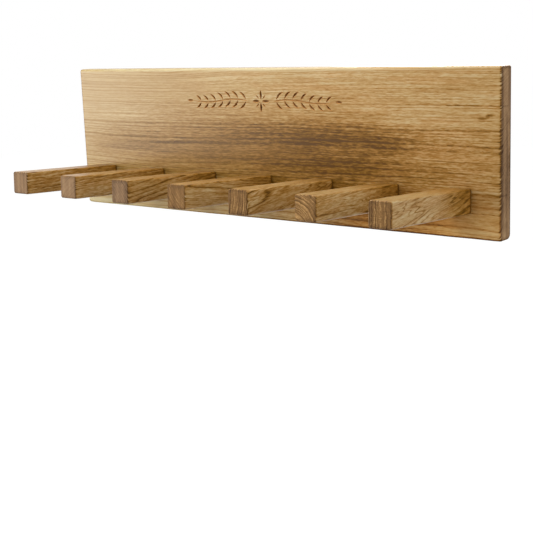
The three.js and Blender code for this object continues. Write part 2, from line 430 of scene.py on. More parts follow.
def own_shades(tree, wood, marks):
    """A value and its share for each mark: its middle, half sizes, share and tearing."""
    shades = []
    for middle, half, share, torn in marks:
        ragged = times(tree, wood.fibre, -torn, in_oval(tree, wood, middle, half))
        shades.append((fade(tree, ragged, -0.2, 0.8), share))
    return shades


print("sapwood keeps", SAPWOOD_AND_SHEEN_FIGURE, "of the figure")

# %% [markdown]
# Now the marks are added up, for faces and for ends. Each could be tuned on each piece, but the pieces
# would stop looking like one wood, so a look only makes a few kinds of marks bolder. The pegs get a
# painted shade that deepens towards their roots and a painted contact shadow where they meet the
# board, and the ends keep the saw's scratches.

# %% How dark the wood is
FACE_START, END_START = -0.44, -0.36
ROOT_REACH = 100 * MM
# Each mark, its share, and the setting of the look that makes it bolder.
FACE_SHARES = (
    ("lines", 0.34, "ringed"), ("flames", 0.34, "flamed"), ("pale", -0.14, "ringed"),
    ("pores", 0.26), ("figured", 0.32, "bold"), ("streaks", 0.14), ("tone", 0.16),
    ("slanted", 0.36, "arris_soak"), ("cut_lines", 0.75, "arris_soak"), ("last_lines", 0.52),
    # The two root marks are a painted shade and a painted contact shadow at a peg's root.
    ("cut_pale", -0.6), ("near_root", 1.0, "root_shading"), ("at_root", 1.2, "root_shading"),
)
END_SHARES = (
    ("lines", 0.40, "end_bold"), ("pale", -0.24, "end_bold"), ("pores", 0.15, "end_bold"),
    ("fibre", 0.18, "end_bold"), ("tone", 0.10), ("streaks", 0.5, "end_sawn"),
    ("sawn", 1.0, "end_sawn"), ("rays", -0.12, "end_bold"), ("slanted", 0.16, "arris_soak"),
    ("edge_lines", 1.0, "edge_soak"),
)


def add_edge_marks(tree, wood, seed):
    wood.cut_lines = times(tree, wood.slanted, wood.lines)
    wood.cut_pale = times(tree, wood.slanted, wood.pale)
    wood.last_lines = times(tree, wood.to_end, calc(tree, "ADD", wood.lines, 0.2))
    wood.edge_lines = times(tree, wood.to_edge, calc(tree, "ADD", wood.lines, 0.5))
    # Painted shade towards a peg's root, and a painted contact shadow where it meets the board.
    wood.near_root = fade(tree, wood.along, 0.0, ROOT_REACH)
    wood.at_root = fade(tree, wood.along, 1.5 * MM, 6 * MM)
    wood.sawn = spots(tree, wood.in_piece, (1, 150, 12), seed, 2.0, 0.32, 0.68)


def total(tree, start, parts):
    """start, plus value times share over all parts."""
    for value, share in parts:
        start = times(tree, value, share, start)
    return start


def darkness(tree, wood, look, start, shares, shades):
    parts = []
    for mark, share, *settings in shares:
        for setting in settings:
            share *= getattr(look, setting)
        parts.append((getattr(wood, mark), share))
    return total(tree, look.depth + start, parts + shades)


print("marks:", len(FACE_SHARES), "on faces and", len(END_SHARES), "on ends")

# %% [markdown]
# The darkness gives the colour, and tints go over it. The blush shows only in paler wood, because in
# dark wood it would turn purple. A painted warm light tints the board's lower right, where the pegs'
# shadow falls. The ornament's strokes are scorched, as a hot tool leaves them, and get darker with
# their depth.

# %% The colour of oiled oak
BLUSH_SHARE = 0.55
SCORCH_RIM, SCORCH_BOTTOM = paint(182, 126, 66), paint(88, 52, 24)


def wood_colour(tree, wood, look):
    shades = own_shades(tree, wood, look.marks)
    dark = darkness(tree, wood, look, FACE_START, FACE_SHARES, shades)
    blushing = times(tree, times(tree, wood.blush, fade(tree, dark, 0.35, 0.80)), BLUSH_SHARE)
    face = mix_colours(tree, blushing, ramp(tree, dark, OAK_FACE), BLUSH, "MULTIPLY")
    # Paler, cooler wood towards the board's left end: sapwood, with a painted sheen.
    if look.sapwood:
        face = mix_colours(tree, wood.sapwood, face, SAPWOOD_AND_SHEEN, "MULTIPLY")
    # Painted warm light over the shade at the board's lower right.
    if look.warm:
        painted_warmth = fade(tree, in_oval(tree, wood, *look.warm), 0.2, 1.0)
        face = mix_colours(tree, painted_warmth, face, PAINTED_WARM_TINT, "MULTIPLY")
    end_dark = darkness(tree, wood, look, END_START, END_SHARES, shades)
    return mix_colours(tree, wood.open_end, face, ramp(tree, end_dark, look.end_stops))


def scorched(tree, wood, colour, rim, bottom):
    """The colour of a stroke that lies between rim and bottom, two values of Y."""
    sunk = soft_step(tree, axis_of(tree, wood.place, "Y"), rim, bottom)
    scorch = mix_colours(tree, sunk, SCORCH_RIM, SCORCH_BOTTOM)
    return mix_colours(tree, times(tree, wood.fibre, 0.25, 0.70), colour, scorch)


print("a blush takes at most", BLUSH_SHARE, "of its tint")

# %% [markdown]
# Oil is no varnish: it leaves a low sheen on the faces and almost none on thirsty end grain or on a
# rough underside. So the gloss is weak, and the roughness follows the wood. Open pores are little
# grooves, far too small to model, so a bump does for them.

# %% The oiled oak finish
OIL_GLOSS, OIL_IOR = 0.17, 1.5
GROOVE_DEPTH = 0.2 * MM
SCORCH_ROUGHNESS = 0.7
PLAIN_LOOK = dict(
    # How dark the wood is, its ends' colours, and its own marks.
    depth=0.36, end_stops=OAK_END, marks=(),
    # How bold rings, flames and fibre are on faces, and the figure and saw marks on ends.
    ringed=1.0, flamed=0.0, bold=1.0, end_bold=1.0, end_sawn=0.16,
    # What the ends' rims and eased edges soak up, the root's painted shade, and how dry the underside
    # is.
    edge_soak=0.16, arris_soak=1.0, root_shading=0.0, dry_under=0.0,
    # Where there is sapwood with a painted sheen, painted warm light, and a scorched stroke.
    sapwood=None, warm=None, scorch=None,
)


def new_finish(name):
    material = bpy.data.materials.new(name)
    material.use_nodes = True
    material.node_tree.nodes.clear()
    return material, material.node_tree


def show_surface(tree, shader, kind="ShaderNodeOutputMaterial"):
    tree.links.new(shader.outputs[0], tree.nodes.new(kind).inputs["Surface"])


def oiled_oak(name, body, log, **given):
    look = SimpleNamespace(**{**PLAIN_LOOK, **given})
    material, tree = new_finish(name)
    wood = read_wood(tree, body, log)
    if look.sapwood:
        calm_sapwood_and_sheen(tree, wood, *look.sapwood)
    add_edge_marks(tree, wood, log["Seed"])
    colour = wood_colour(tree, wood, look)
    rough = total(tree, 0.29, [(wood.tone, 0.06), (wood.lines, 0.10), (wood.open_end, 0.40)])
    if look.dry_under:
        under = fade(tree, axis_of(tree, wood.normal, "Z"), -0.6, -0.1)
        rough = times(tree, under, look.dry_under, rough)
    if look.scorch:
        colour = scorched(tree, wood, colour, *look.scorch)
        rough = calc(tree, "MAXIMUM", rough, SCORCH_ROUGHNESS)

    relief = total(tree, 0.0, [(wood.lines, -0.2), (wood.pores, -1.0), (wood.fibre, 0.3)])
    bump = {"Strength": 0.3, "Distance": GROOVE_DEPTH, "Height": relief}
    surface = {
        "Base Color": colour, "Roughness": rough, "IOR": OIL_IOR, "Specular IOR Level": OIL_GLOSS,
        "Normal": add_node(tree, "Bump", bump).outputs[0],
    }
    show_surface(tree, add_node(tree, "BsdfPrincipled", surface))
    return material


print("a look has", len(PLAIN_LOOK), "settings")

# %% [markdown]
# The board was cut flat from the side of the log, so its rings are wide bands in front and close lines
# on the ends. Its shades follow the real one: a broad dark heart under the ornament, partly the wood
# and partly the painted shadow of boots hung on the pegs, paler wood beside it, oil on the right-hand
# end, and a pin knot there. Light and shade are painted too: shade towards the bottom and under the
# pegs, light where the last peg's shadow falls, a highlight along the top edge, and shade along the
# lower edge and along the back edge of the right-hand end.

# %% The board's own wood
AT_FRONT = -BOARD_THICKNESS / 2
# Each mark has its middle and half sizes in metres from the board's middle, how much it darkens
# the wood, and how far the fibre tears its rim.
BROAD_SHADES = (
    # Painted shade, darker towards the bottom.
    ((0.150, 0, -0.070), (0.800, 0.30, 0.130), 0.06, 0.2),
    # Partly a darker heart in the wood and partly the painted shadow of boots hung on the pegs.
    ((0.040, AT_FRONT, -0.008), (0.540, 0.045, 0.096), 0.43, 0.25),
    ((0.115, AT_FRONT, 0.014), (0.240, 0.045, 0.024), 0.25, 0.3),
    ((0.135, AT_FRONT, -0.024), (0.220, 0.045, 0.022), 0.20, 0.3),
    ((0.190, AT_FRONT, 0.002), (0.070, 0.045, 0.024), 0.13, 0.3),
    # Painted shade under the pegs.
    ((0.180, AT_FRONT, -0.080), (0.130, 0.045, 0.040), 0.25, 0.3),
    ((-0.340, 0, -0.090), (0.200, 0.30, 0.060), -0.21, 0.2),
    ((-0.330, 0, 0.060), (0.420, 0.30, 0.160), 0.05, 0.2),
    ((0.245, 0, 0.012), (0.150, 0.30, 0.060), -0.15, 0.2),
    ((0.270, AT_FRONT, 0.075), (0.170, 0.045, 0.050), 0.05, 0.2),
    ((0.030, AT_FRONT, 0.058), (0.320, 0.045, 0.025), -0.10, 0.1),
    ((0.210, 0, 0.043), (0.170, 0.30, 0.018), -0.12, 0.3),
    # Painted light where the last peg's shadow falls.
    ((0.330, AT_FRONT, -0.080), (0.090, 0.045, 0.060), -0.24, 0.2),
)
EDGE_SHADES = (
    # A painted highlight along the top edge.
    ((-0.05, AT_FRONT, 0.1), (0.60, 0.007, 0.006), -0.40, 0.5),
    # Painted shade along the lower edge.
    ((0.25, AT_FRONT, -0.1), (0.60, 0.006, 0.0045), 1.1, 0.2),
    # Painted shade along the back edge of the right-hand end.
    ((0.350, 0.012, 0.000), (0.005, 0.005, 0.20), 0.90, 0.2),
    ((0.352, 0, -0.070), (0.006, 0.05, 0.070), 0.12, 0.2),
)
PIN_KNOT = (
    ((0.338, AT_FRONT, 0.045), (0.006, 0.02, 0.0016), 0.32, 0.8),
    ((0.332, AT_FRONT, 0.043), (0.003, 0.02, 0.0030), 0.32, 0.8),
    ((0.326, AT_FRONT, 0.041), (0.006, 0.02, 0.0014), 0.30, 0.8),
    ((0.334, AT_FRONT, 0.038), (0.008, 0.02, 0.0010), 0.26, 0.8),
    ((0.305, AT_FRONT, 0.0555), (0.034, 0.02, 0.0014), 0.34, 0.8),
    ((0.342, AT_FRONT, 0.055), (0.014, 0.02, 0.0014), 0.34, 0.8),
    ((0.330, AT_FRONT, -0.047), (0.040, 0.02, 0.0014), 0.22, 0.8),
)
STROKE_DEPTH = 1.6 * MM

board_body = dict(
    own=Matrix.Translation(board_middle), middle=(0, 0, 0), half=board_half, slope=Matrix.Identity(4)
)
board_log = dict(
    Heart=(0, 0.130, -0.150), Ring=2.9 * MM, Wander=18 * MM, Sway=2.4 * MM, Ripple=1.4 * MM, Seed=3.1
)
board_look = dict(
    depth=0.54, ringed=0.82, end_bold=0.28, end_sawn=0.30, edge_soak=0.34, dry_under=0.6,
    end_stops=OAK_GREY_END, marks=BROAD_SHADES + EDGE_SHADES + PIN_KNOT, sapwood=(-0.35, 0.20),
    # Painted warm light at the board's lower right, in the pegs' shadow.
    warm=((0.250, AT_FRONT, -0.090), (0.220, 0.022, 0.060)),
)
board_oak = oiled_oak("board_oak", board_body, board_log, **board_look)
stroke = (FACE_Y, FACE_Y + STROKE_DEPTH)
carved_oak = oiled_oak("carved_oak", board_body, board_log, scorch=stroke, **board_look)
print("finishes:", board_oak.name, carved_oak.name, "marks:", len(board_look["marks"]))

# %% [markdown]
# Most pieces here are lengths of something: a bar, a stroke, a hole, a screw. Ready-made shapes
# would need many changes to become them. It is simpler to lay rings of points along the length,
# like the slices of a loaf, and to join each ring to the next.

# %% A closed skin over rings of points
def finish_mesh(name, shape):
    mesh = bpy.data.meshes.new(name)
    shape.to_mesh(mesh)
    shape.free()
    made = bpy.data.objects.new(name, mesh)
    scene.collection.objects.link(made)
    return made


def skinned(name, rings):
    """An end ring of one point is a tip, and a longer one is closed flat."""
    shape = bmesh.new()
    loops = [[shape.verts.new(point) for point in ring] for ring in rings]
    for ring, after in zip(loops, loops[1:]):
        for i in range(max(len(ring), len(after))):
            j = i + 1
            corners = [ring[i % len(ring)], ring[j % len(ring)]]
            corners += [after[j % len(after)], after[i % len(after)]]
            shape.faces.new(list(dict.fromkeys(corners)))
    for end in (loops[0], loops[-1]):
        if len(end) > 1:
            shape.faces.new(end)
    bmesh.ops.recalc_face_normals(shape, faces=shape.faces)
    return finish_mesh(name, shape)


def ring_round(y, radii):
    """Points all round the Y axis, one for each of the radii."""
    turns = [2 * pi * i / len(radii) for i in range(len(radii))]
    return [Vector((r * cos(t), y, r * sin(t))) for t, r in zip(turns, radii)]


print("a ring of three points:", [tuple(round(v, 2) for v in p) for p in ring_round(0, (1, 1, 1))])

# %% [markdown]
# The board and the pegs are sawn bars, eased with sandpaper. A bevel would round every edge alike, as a
# machine does. So each slice is a rounded rectangle of its own, and the rounding wavers along the
# length. At the ends the slices draw in on a quarter circle.

# %% A bar with eased edges
ARRIS_STEPS = 5
QUARTERS = ((1, 1), (-1, 1), (-1, -1), (1, -1))
LEAST_ROUNDING = 0.05 * MM
BITES_A_METRE = 30
EDGES_APART = 7.3
WORN_ARRISES = 3


def slice_points(half_y, half_z, inset, roundings):
    points = []
    for quarter, (side_y, side_z) in enumerate(QUARTERS):
        radius = max(roundings[quarter] - inset, LEAST_ROUNDING)
        for step in range(ARRIS_STEPS + 1):
            angle = (quarter + step / ARRIS_STEPS) * pi / 2
            y = side_y * (half_y - inset - radius) + radius * cos(angle)
            z = side_z * (half_z - inset - radius) + radius * sin(angle)
            points.append((y, z))
    return points


def slice_places(length, arris, slices):
    """How far along the bar each slice lies, and how far it draws in."""
    turns = [step / ARRIS_STEPS * pi / 2 for step in range(ARRIS_STEPS + 1)]
    rounded = [(arris * (1 - cos(t)), arris * (1 - sin(t))) for t in turns]
    places = rounded + [(length * i / slices, 0.0) for i in range(1, slices)]
    return places + [(length - along, inset) for along, inset in reversed(rounded)]


def eased_bar(name, start, length, half_y, half_z, arris, slices, wear, seed, corner_wear, slant=0.0):
    """A bar along X. wear is how much its edges waver, corner_wear how much rounder each one is at
    the ends, and slant how far the start leans along the bar as Z rises."""
    rings = []
    for along, inset in slice_places(length, arris, slices):
        at_end = max(0.0, 1 - min(along, length - along) / (WORN_ARRISES * arris))
        roundings = []
        for quarter, extra in enumerate(corner_wear):
            spot = Vector(((start + along) * BITES_A_METRE, quarter * EDGES_APART, seed))
            roundings.append(arris * (1 + extra * at_end + wear * noise.noise(spot)))
        lean = slant * (1 - along / length)
        points = slice_points(half_y, half_z, inset, roundings)
        rings.append([(start + along + z * lean, y, z) for y, z in points])
    return skinned(name, rings)


print("points in a slice:", len(slice_points(1, 1, 0, (0.1,) * 4)))

# %% [markdown]
# Rounded edges have to shade smoothly while flat faces stay flat. Smooth shading alone would smear
# dark clouds over the faces. So sharp edges are kept sharp, and at a corner the big faces decide.

# %% Even shading
SHARP_FROM = radians(35)


def even_light(piece):
    piece.modifiers.new("even_light", "WEIGHTED_NORMAL").keep_sharp = True


def smooth_over(piece):
    piece.data.shade_smooth()
    piece.data.set_sharp_from_angle(angle=SHARP_FROM)
    even_light(piece)


print("sharp from", round(SHARP_FROM, 3), "radians")

# %% [markdown]
# The ornament is cut with a V-shaped tool: where it goes deeper, the stroke gets wider. A picture on
# the board would have no depth, and a bump no true edge. So each cutter is a three-sided bar that sinks
# and rises along a path.

# %% Cutters shaped like strokes
PROUD = 0.6 * MM
LEAF_STEPS = 10
LEAF_FULLNESS = 0.8


def v_cutter(name, path, depths):
    """A V-shaped bar that follows path, a list of (x, z) on the board's face, at the given depths."""
    rings = []
    for i, (x, z) in enumerate(path):
        before, after = path[max(i - 1, 0)], path[min(i + 1, len(path) - 1)]
        way = Vector((after[0] - before[0], after[1] - before[1])).normalized()
        half = depths[i] + PROUD
        left = (x - way.y * half, FACE_Y - PROUD, z + way.x * half)
        right = (x + way.y * half, FACE_Y - PROUD, z - way.x * half)
        rings.append([left, right, (x, FACE_Y + depths[i], z)])
    return skinned(name, rings)


def leaf(name, x, z, length, width, angle, bend=0.0):
    """An almond-shaped cut that starts at (x, z) and points along angle."""
    path, depths = [], []
    for step in range(LEAF_STEPS + 1):
        share = step / LEAF_STEPS
        turn = angle + bend * (share - 0.5)
        path.append((x + length * share * cos(turn), z + length * share * sin(turn)))
        depths.append(width / 2 * sin(pi * share) ** LEAF_FULLNESS)
    return v_cutter(name, path, depths)


print("steps in a leaf:", LEAF_STEPS)

# %% [markdown]
# The design is a plain traditional one: a sprig of paired leaves to each side of a four-petalled
# flower. The leaves get shorter towards the stem's end, and a bud closes it. One function makes both
# sides, so they match.

# %% Carve the ornament's strokes
ORNAMENT_Z, ORNAMENT_REACH = 57 * MM, 134 * MM
STEM_START, STEM_END = 20 * MM, ORNAMENT_REACH - 12 * MM
STEM_STEPS, STEM_WAVE, STEM_DEPTH = 40, 2.2 * MM, 0.85 * MM
PAIRS, FIRST_PAIR, PAIR_SPACING = 7, STEM_START + 6 * MM, 13.4 * MM
LEAF_LENGTH, LEAF_SHRINK, LEAF_WIDTH = 15.5 * MM, 0.7 * MM, 3.3 * MM
LEAF_ROOT, LEAF_ANGLE, LEAF_BEND = 0.9 * MM, radians(56), 0.5
PETALS = 4
# How far each starts from the flower's middle, its length and its width.
PETAL = (2.0 * MM, 12.5 * MM, 4.2 * MM)
SEPAL = (4.2 * MM, 7.0 * MM, 2.0 * MM)
BUD = (STEM_END - 1.5 * MM, 11 * MM, 3.4 * MM)


def outward_leaf(name, angle, start, length, width):
    x, z = start * cos(angle), ORNAMENT_Z + start * sin(angle)
    return leaf(name, x, z, length, width, angle)


def carve_flower():
    cutters = []
    for petal in range(PETALS):
        angle = petal * 2 * pi / PETALS
        cutters.append(outward_leaf("cut_petal", angle, *PETAL))
        cutters.append(outward_leaf("cut_sepal", angle + pi / PETALS, *SEPAL))
    return cutters


def stem_z(x):
    return ORNAMENT_Z + STEM_WAVE * sin((x - STEM_START) / (STEM_END - STEM_START) * 2 * pi)


def carve_sprig(side):
    """Stem, leaves and bud to one side of the flower. side is 1 to the right and -1 to the left."""
    path, depths = [], []
    for step in range(STEM_STEPS + 1):
        x = STEM_START + (STEM_END - STEM_START) * step / STEM_STEPS
        path.append((side * x, stem_z(x)))
        depths.append(STEM_DEPTH * min(1, step / 4, (STEM_STEPS - step) / 12 + 0.2))
    cutters = [v_cutter("cut_stem", path, depths)]
    for pair in range(PAIRS):
        x, length = FIRST_PAIR + pair * PAIR_SPACING, LEAF_LENGTH - pair * LEAF_SHRINK
        for up in (1, -1):
            z, bend = stem_z(x) + up * LEAF_ROOT, -side * up * LEAF_BEND
            angle = up * LEAF_ANGLE if side > 0 else pi - up * LEAF_ANGLE
            cutters.append(leaf("cut_leaf", side * x, z, length, LEAF_WIDTH, angle, bend))
    cutters.append(outward_leaf("cut_bud", 0 if side > 0 else pi, *BUD))
    return cutters


ornament_cutters = carve_flower() + carve_sprig(1) + carve_sprig(-1)
print("ornament strokes:", len(ornament_cutters))

# %% [markdown]
# Holes are cut the same way: the boolean modifier takes a solid out of the wood, and its result is
# written back into the mesh, so that the cutters can go. A screw's hole is turned round the axis that
# the frame gives, with a cone for the countersunk head.

# %% Cut shapes out of a piece
HOLE_SIDES = 40
FIT_GAP = 0.3 * MM
OVERRUN = 2 * MM
HEAD_EDGE_SHARE = 0.04
SCREW_SIZES = {
    "peg": SimpleNamespace(
        head=9.6 * MM, thread=5 * MM, core=3.4 * MM, pitch=3 * MM, point=5 * MM,
        neck=BOARD_THICKNESS - 0.5 * MM, sink=0.5 * MM,
    ),
    "plate": SimpleNamespace(
        head=6 * MM, thread=3 * MM, core=2 * MM, pitch=1.5 * MM, point=3 * MM, neck=2 * MM,
        sink=0.25 * MM,
    ),
}


def apply_modifiers(piece):
    graph = bpy.context.evaluated_depsgraph_get()
    solved = bpy.data.meshes.new_from_object(piece.evaluated_get(graph))
    old = piece.data
    piece.modifiers.clear()
    piece.data = solved
    bpy.data.meshes.remove(old)


def cut_away(piece, cutters):
    group = bpy.data.collections.new("cutters")
    for cutter in cutters:
        group.objects.link(cutter)
    cut = piece.modifiers.new("cut", "BOOLEAN")
    cut.operation = "DIFFERENCE"
    cut.operand_type = "COLLECTION"
    cut.collection = group
    cut.solver = "EXACT"
    apply_modifiers(piece)
    for cutter in cutters:
        mesh = cutter.data
        bpy.data.objects.remove(cutter)
        bpy.data.meshes.remove(mesh)
    bpy.data.collections.remove(group)


def screw_of(node):
    """The kind of a screw, the middle of its head's flat top, and its length."""
    low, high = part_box(node)
    place = Vector(((low.x + high.x) / 2, high.y, (low.z + high.z) / 2))
    return node.split("_")[0], place, high.y - low.y


def screw_hole(node):
    """The countersunk hole round a screw of the frame, open to the back."""
    kind, place, length = screw_of(node)
    size = SCREW_SIZES[kind]
    mouth, bore = size.head / 2 + FIT_GAP * sqrt(2), size.thread / 2 + FIT_GAP
    edge, bottom, top = size.head * HEAD_EDGE_SHARE, -length - FIT_GAP, size.sink + OVERRUN
    outline = ((bore, bottom), (bore, bore - mouth - edge), (mouth, -edge), (mouth, top))
    rings = [ring_round(y, [radius] * HOLE_SIDES) for radius, y in outline]
    rings = [ring_round(bottom, [0])] + rings + [ring_round(top, [0])]
    return skinned("cut_hole", [[place + point for point in ring] for ring in rings])


print("kinds of screw:", list(SCREW_SIZES))

# %% [markdown]
# The keyhole plates lie flush in round-ended beds, with room behind for the wall screw's head. A router
# cuts such a bed in one straight pass, and that gives its shape: two half circles joined by straight
# sides.

# %% Cutters for the board's back
ROUND_STEPS = 20
KEY_ENTRY, KEY_SLOT = 11 * MM, 5.5 * MM
KEY_RISE, KEY_DROP = 14 * MM, 6 * MM
HEAD_ROOM, HEAD_MARGIN = 5 * MM, 1 * MM


def round_ended(name, x, low_z, high_z, radius, back_y, front_y):
    outline = []
    for middle_z, start in ((high_z, 0), (low_z, pi)):
        for step in range(ROUND_STEPS + 1):
            angle = start + pi * step / ROUND_STEPS
            outline.append((x + radius * cos(angle), middle_z + radius * sin(angle)))
    return skinned(name, [[(px, y, pz) for px, pz in outline] for y in (back_y, front_y)])


def plate_of(name):
    low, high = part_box(name)
    radius = (high.x - low.x) / 2
    return SimpleNamespace(
        x=(low.x + high.x) / 2, low_z=low.z + radius, high_z=high.z - radius, radius=radius,
        back=high.y, front=low.y, entry_z=(low.z + high.z) / 2 - KEY_DROP,
    )


plates = {name: plate_of(name) for name in ("keyhole_plate_left", "keyhole_plate_right")}
back_cutters = []
for at in plates.values():
    bed = at.low_z, at.high_z, at.radius + FIT_GAP, OVERRUN, at.front
    room = at.entry_z, at.entry_z + KEY_RISE, KEY_ENTRY / 2 + HEAD_MARGIN, OVERRUN, at.front - HEAD_ROOM
    back_cutters += [round_ended("cut_bed", at.x, *bed), round_ended("cut_room", at.x, *room)]
screw_names = sorted(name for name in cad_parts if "screw" in name)
back_cutters += [screw_hole(name) for name in screw_names]
print("holes and beds:", len(back_cutters))

# %% [markdown]
# Now the board itself: one long bar, cut from behind and then carved in front. The scorched finish must
# show in the strokes only. Painted on by hand it would be tied to one design, so the faces are found by
# their place.

# %% Make the board
BOARD_ARRIS = 2.9 * MM
ORNAMENT_MARGIN, ORNAMENT_HALF_HEIGHT = 5 * MM, 30 * MM
JUST_BELOW, WELL_BELOW = 0.01 * MM, 3 * MM

board = eased_bar(
    "board", board_low.x, 2 * board_half.x, board_half.y, board_half.z, BOARD_ARRIS,
    slices=60, wear=0.45, seed=1.7, corner_wear=(0, 0, 0.6, 1.4),
)
board.data.transform(Matrix.Translation((0, board_middle.y, board_middle.z)))
cut_away(board, back_cutters)
cut_away(board, ornament_cutters)
board.data.materials.clear()
board.data.materials.append(board_oak)
board.data.materials.append(carved_oak)
carved = 0
for face in board.data.polygons:
    x, y, z = face.center
    near = abs(x) < ORNAMENT_REACH + ORNAMENT_MARGIN and abs(z - ORNAMENT_Z) < ORNAMENT_HALF_HEIGHT
    in_stroke = near and FACE_Y + JUST_BELOW < y < FACE_Y + WELL_BELOW
    face.material_index = int(in_stroke)
    carved += in_stroke
smooth_over(board)
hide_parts("back_board")
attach(board, "root")
print("board faces:", len(board.data.polygons), "carved:", carved)

# %% [markdown]
# The pegs are cut from offcuts, so one shows long arches on its side and the next slanting lines. One
# material for all seven would give them the same face, so each has its own place in the log, its own
# slope of grain and its own look.

# %% The pegs' own wood
# For each peg: the heart's place across the grain, the grain's slopes up and to the side in
# degrees, the width of a year's ring, how far the rings sway as a share of that, and its look.
PEG_CUTS = (
    ((-0.050, -0.070), (1, -3), 3.0 * MM, 1.1, dict(
        depth=0.55, ringed=1.2, flamed=0.6, bold=1.6, end_bold=0.2, end_sawn=0.20,
        end_stops=OAK_GREY_END)),
    ((0.040, -0.060), (2, 4), 3.4 * MM, 1.1, dict(
        depth=0.47, ringed=1.2, flamed=0.6, bold=1.6, end_bold=0.25, end_stops=OAK_GREY_END)),
    ((-0.060, -0.040), (2, -4), 2.8 * MM, 1.1, dict(
        depth=0.57, ringed=1.2, flamed=0.6, bold=1.3, end_bold=0.5, end_stops=OAK_GREY_END)),
    ((0.050, 0.040), (-2, 4), 3.2 * MM, 1.1, dict(
        depth=0.55, ringed=1.2, flamed=0.6, bold=1.3, end_bold=0.5)),
    ((-0.066, 0.026), (7, 3), 3.2 * MM, 0.8, dict(
        depth=0.475, ringed=1.1, flamed=0.9, bold=1.5, end_bold=1.1, end_sawn=0.20)),
    ((-0.026, -0.004), (7, 3), 3.0 * MM, 0.8, dict(
        depth=0.47, ringed=0.9, flamed=1.0, bold=1.4, end_bold=0.9, end_sawn=0.10, root_shading=0.44)),
    ((-0.100, 0.026), (9, 1.5), 4.3 * MM, 0.8, dict(
        depth=0.51, ringed=0.30, flamed=1.1, bold=1.2,
        marks=(((PEG_LENGTH, -0.012, 0), (0.02, 0.009, 0.03), 0.16, 0.3),))),
)
# The root setting is how strong the painted shade and contact shadow at the pegs' roots are.
PEG_LOOK = dict(arris_soak=0.7, root_shading=0.30)
PEG_WANDER = 10 * MM
RIPPLE_SHARE = 0.9
FIRST_SEED, SEEDS_APART = 10.0, 3.7


def peg_frame(x):
    """The peg's own directions: X out along it, Y to the right and Z up across it."""
    lean_cos, lean_sin = cos(PEG_TILT), sin(PEG_TILT)
    return Matrix((
        (0, 1, 0, x),
        (-lean_cos, 0, lean_sin, FACE_Y),
        (lean_sin, 0, lean_cos, PEG_ROOT_Z),
        (0, 0, 0, 1),
    ))


def peg_oak(number, own, heart, slopes, ring, sway, look):
    up, sideways = (radians(slope) for slope in slopes)
    slope = Matrix.Rotation(sideways, 4, "Z") @ Matrix.Rotation(up, 4, "Y")
    half = (PEG_LENGTH / 2, PEG_SIDE / 2, PEG_SIDE / 2)
    body = dict(own=own, middle=(PEG_LENGTH / 2, 0, 0), half=half, slope=slope)
    log = dict(
        Heart=(0, *heart), Ring=ring, Wander=PEG_WANDER, Sway=sway * ring,
        Ripple=RIPPLE_SHARE * ring, Seed=FIRST_SEED + SEEDS_APART * number,
    )
    return oiled_oak(f"peg_oak_{number}", body, log, **{**PEG_LOOK, **look})


print("cuts for", len(PEG_CUTS), "pegs")

# %% [markdown]
# A peg is the same kind of bar as the board, made level and then turned into its place. Its root is
# cut slanting, so that it lies flat on the board while the peg leans. The two screws that hold it
# come from behind, so their holes are cut into the peg as well.

# %% Make the pegs
PEG_ARRIS = 1.95 * MM
PEG_EDGE_SEED = 5.1


def make_peg(number, x, cut):
    own = peg_frame(x)
    piece = eased_bar(
        f"square_peg_{number}", 0, PEG_LENGTH, PEG_SIDE / 2, PEG_SIDE / 2, PEG_ARRIS, slices=16,
        wear=0.5, seed=PEG_EDGE_SEED * number, corner_wear=(0.5,) * 4, slant=tan(PEG_TILT),
    )
    piece.data.transform(own)
    piece.data.materials.append(peg_oak(number, own, *cut))
    cut_away(piece, [screw_hole(f"peg_screw_{level}_{number}") for level in ("upper", "lower")])
    smooth_over(piece)
    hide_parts(f"peg_{number}")
    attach(piece, "root")
    return piece


pegs = [make_peg(i + 1, x, cut) for i, (x, cut) in enumerate(zip(PEG_PLACES, PEG_CUTS))]
print("pegs:", len(pegs), "faces each:", len(pegs[0].data.polygons))

# %% [markdown]
# The hardware is plated steel. Metal of one colour looks like plastic film, but real zinc is brushed,
# and the yellow kind carries a film whose colour drifts. So two near shades are mixed, and one
# stretched noise gives the brushed roughness and faint grooves.

# %% Plated steel
BRUSHING = (900, 900, 6000)
BRUSH_DEPTH = 0.05 * MM


def plated_steel(name, colour, tint, seed):
    material, tree = new_finish(name)
    place = tree.nodes.new("ShaderNodeTexCoord").outputs["Object"]
    film = spots(tree, place, (220, 220, 220), seed, 3.0, 0.35, 0.65)
    brushing = speckle(tree, place, BRUSHING, seed, 2.0)
    bump = {"Strength": 0.2, "Distance": BRUSH_DEPTH, "Height": brushing}
    surface = {
        "Base Color": mix_colours(tree, film, colour, tint), "Metallic": 1.0,
        "Roughness": times(tree, brushing, 0.3, 0.22),
        "Normal": add_node(tree, "Bump", bump).outputs[0],
    }
    show_surface(tree, add_node(tree, "BsdfPrincipled", surface))
    return material


zinc = plated_steel("zinc_plate", paint(196, 198, 200), paint(172, 176, 182), 4.0)
yellow_zinc = plated_steel("yellow_zinc", paint(206, 184, 120), paint(190, 176, 136), 9.0)
print("plating:", zinc.name, yellow_zinc.name)

# %% [markdown]
# A wood screw has a flat countersunk head, a smooth neck and a thread that winds down to a sharp point.
# A triangle swept along a helix would have to be joined to the core. Here the whole screw is one skin,
# and where the thread passes, it swells. Two crossed wedges cut the driver's recess.

# %% A countersunk wood screw
SCREW_SIDES = 32
ROWS_A_TURN = 8
THREAD_HALF_SHARE = 0.28
# The recess in shares of the head: half its depth, and its length and width at mouth and bottom.
RECESS_DEPTH = 0.22
RECESS_ENDS = ((1, 0.62, 0.15), (-1, 0.28, 0.09))


